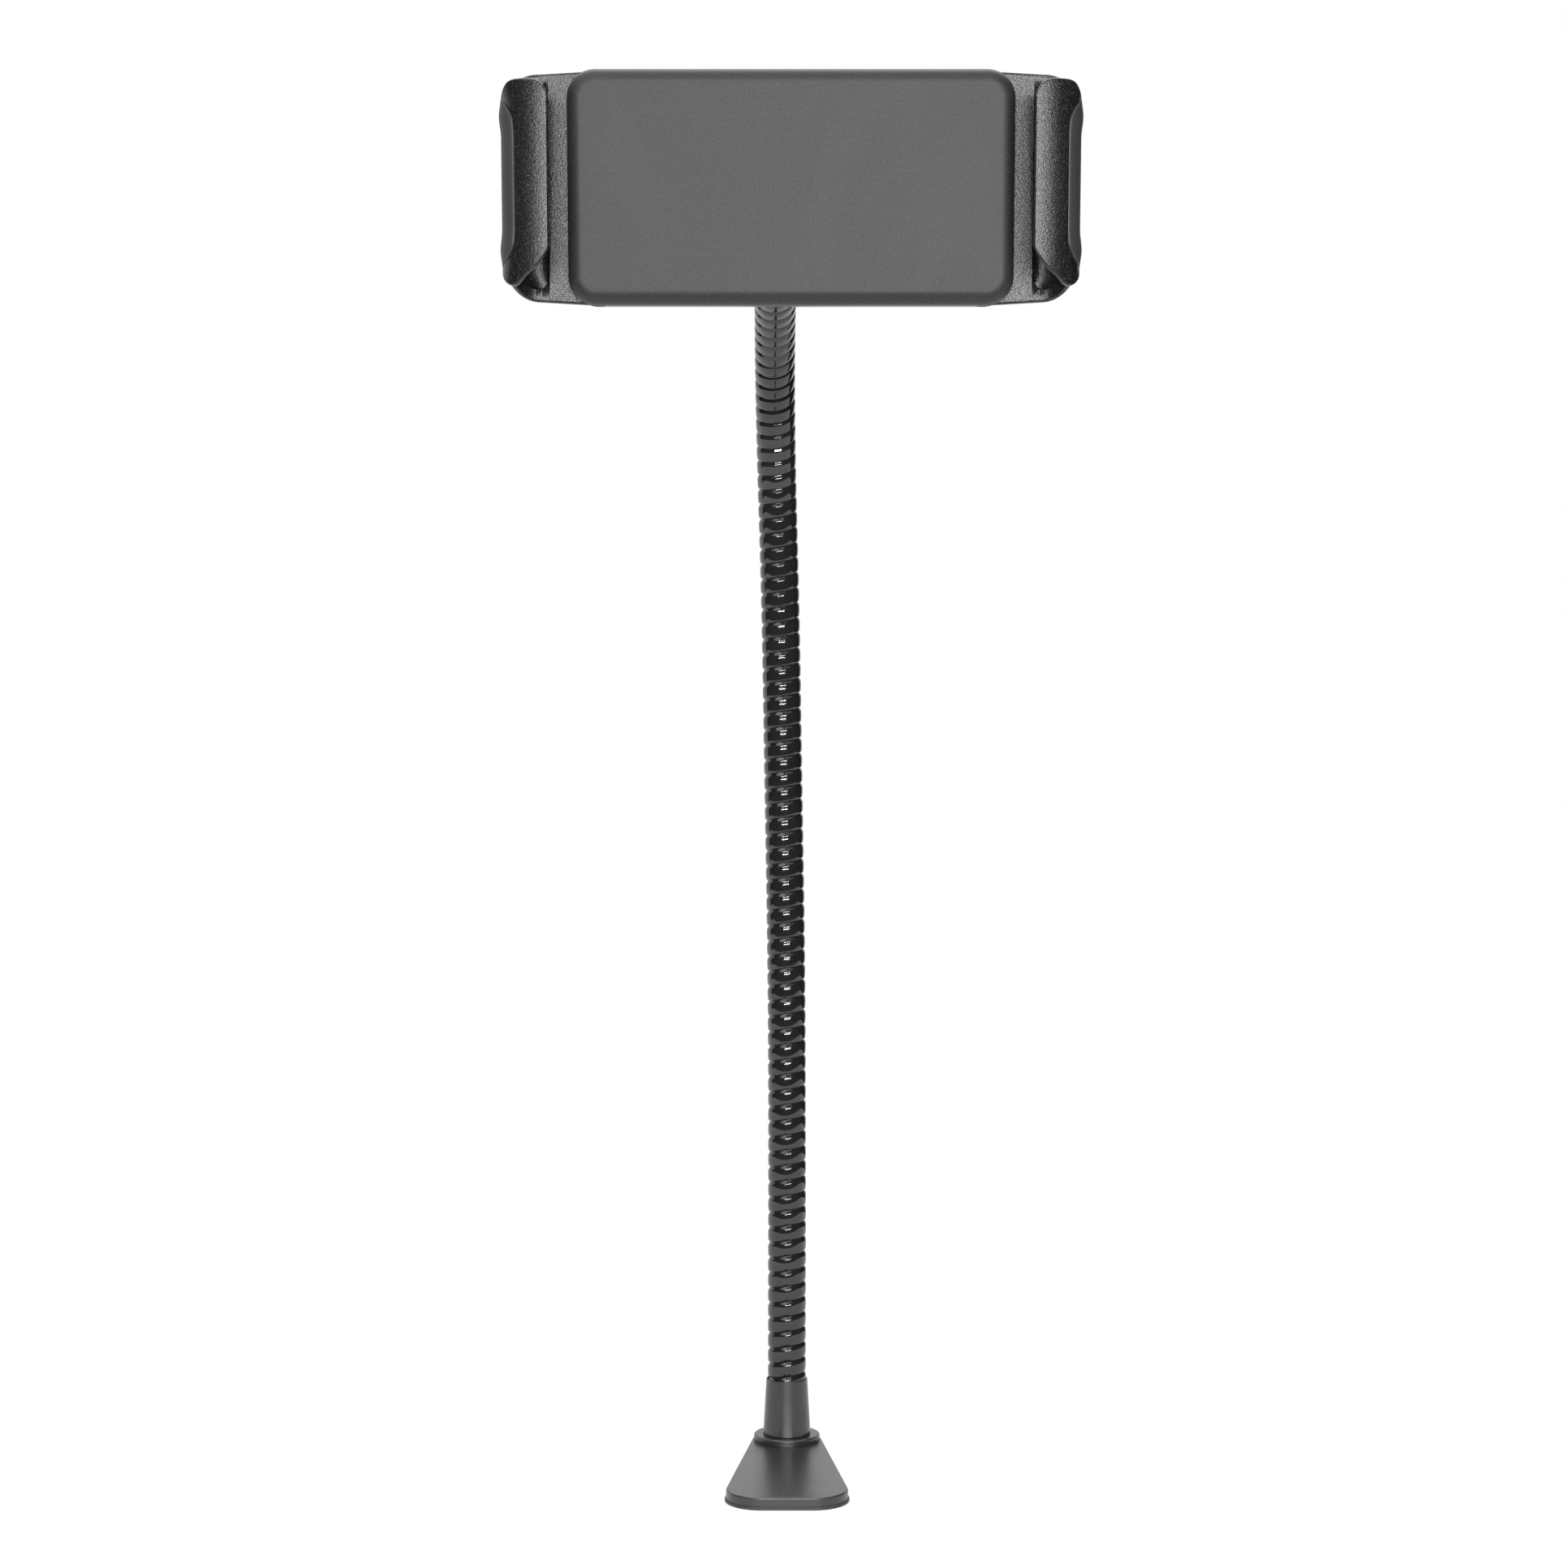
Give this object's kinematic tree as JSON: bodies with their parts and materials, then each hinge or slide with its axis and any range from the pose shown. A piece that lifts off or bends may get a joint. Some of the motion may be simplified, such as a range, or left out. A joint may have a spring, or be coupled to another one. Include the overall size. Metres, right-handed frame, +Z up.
{
  "type": "gooseneck car tablet mount",
  "caption": "Car tablet mount: flat tongue foot, bendable coil neck, ball joint and a grained holder whose sprung sliding jaws grip a tablet.",
  "frame": {"origin": "on the underside of the foot pad, under the axis of the neck's lower end", "axes": "+Z up along the lower neck, -Y towards the tablet side, +X to the right seen from the tablet side"},
  "size_m": [0.1421, 0.2383, 0.3936],
  "materials": {
    "black_rubber": "matte",
    "satin_black_metal": "satin",
    "gloss_black_plastic": "gloss",
    "gloss_black_coil": "gloss sleeve over a steel coil",
    "grained_black_plastic": "fine spark grain",
    "bright_steel": "plated",
    "grey_nylon": "natural"
  },
  "bodies": {
    "foot": {"foot_pad": "black_rubber", "foot_plate": "satin_black_metal", "foot_collar": "satin_black_metal"},
    "neck_1": {"neck_link_1": "gloss_black_coil", "lower_ferrule": "gloss_black_plastic", "foot_screw": "bright_steel"},
    "neck_2": {"neck_link_2": "gloss_black_coil"},
    "neck_3": {"neck_link_3": "gloss_black_coil"},
    "neck_4": {"neck_link_4": "gloss_black_coil"},
    "neck_5": {"neck_link_5": "gloss_black_coil"},
    "neck_6": {"neck_link_6": "gloss_black_coil"},
    "neck_7": {"neck_link_7": "gloss_black_coil"},
    "neck_8": {"neck_link_8": "gloss_black_coil", "upper_ferrule": "gloss_black_plastic"},
    "ball": {"ball_stud": "bright_steel"},
    "socket": {"socket_collet": "grey_nylon", "lock_nut": "grained_black_plastic"},
    "holder": {"front_cover": "grained_black_plastic", "back_cover": "grained_black_plastic", "case_screws": "bright_steel", "left_spring": "bright_steel", "right_spring": "bright_steel"},
    "left_jaw": {"left_jaw": "grained_black_plastic", "left_grip": "black_rubber"},
    "right_jaw": {"right_jaw": "grained_black_plastic", "right_grip": "black_rubber"}
  },
  "joints": [
    {"name": "foot_swivel", "type": "hinge", "parent": "foot", "child": "neck_1", "pos_m": [0, 0, 0.00375], "axis": [0, 0, 1], "continuous": true},
    {"name": "neck_bend_1", "type": "hinge", "parent": "neck_1", "child": "neck_2", "pos_m": [0.00005, 0, 0.07045], "axis": [1, 0, 0], "range_deg": [-25, 25]},
    {"name": "neck_bend_2", "type": "hinge", "parent": "neck_2", "child": "neck_3", "pos_m": [0, -0.00015, 0.12925], "axis": [0, 1, 0.0052], "range_deg": [-25, 25]},
    {"name": "neck_bend_3", "type": "hinge", "parent": "neck_3", "child": "neck_4", "pos_m": [-0.00062, -0.00082, 0.18804], "axis": [1, 0, 0], "range_deg": [-25, 25]},
    {"name": "neck_bend_4", "type": "hinge", "parent": "neck_4", "child": "neck_5", "pos_m": [-0.00159, -0.00287, 0.24679], "axis": [0, 0.9986, 0.0523], "range_deg": [-25, 25]},
    {"name": "neck_bend_5", "type": "hinge", "parent": "neck_5", "child": "neck_6", "pos_m": [-0.00293, -0.01255, 0.30465], "axis": [1, 0, 0], "range_deg": [-25, 25]},
    {"name": "neck_bend_6", "type": "hinge", "parent": "neck_6", "child": "neck_7", "pos_m": [-0.00369, -0.04715, 0.35056], "axis": [0, 0.5299, 0.848], "range_deg": [-25, 25]},
    {"name": "neck_bend_7", "type": "hinge", "parent": "neck_7", "child": "neck_8", "pos_m": [-0.00298, -0.10225, 0.36958], "axis": [1, 0, 0], "range_deg": [-25, 25]},
    {"name": "ball_turn", "type": "hinge", "parent": "neck_8", "child": "ball", "pos_m": [0.00082, -0.18445, 0.36558], "axis": [0.0558, -0.9924, -0.1096], "continuous": true},
    {"name": "ball_tilt", "type": "hinge", "parent": "ball", "child": "socket", "pos_m": [0.00082, -0.18445, 0.36558], "axis": [1, 0, 0], "range_deg": [-28, 27]},
    {"name": "holder_turn", "type": "hinge", "parent": "socket", "child": "holder", "pos_m": [0.00082, -0.18445, 0.36558], "axis": [0, 0.9925, 0.1219], "continuous": true},
    {"name": "left_jaw_slide", "type": "slide", "parent": "holder", "child": "left_jaw", "axis": [-1, 0, 0], "range_m": [0, 0.042], "stiffness_N_per_m": 120, "springref_m": -0.03, "deforming": ["left_spring"]},
    {"name": "right_jaw_slide", "type": "slide", "parent": "holder", "child": "right_jaw", "axis": [1, 0, 0], "range_m": [0, 0.042], "stiffness_N_per_m": 120, "springref_m": -0.03, "deforming": ["right_spring"]}
  ]
}
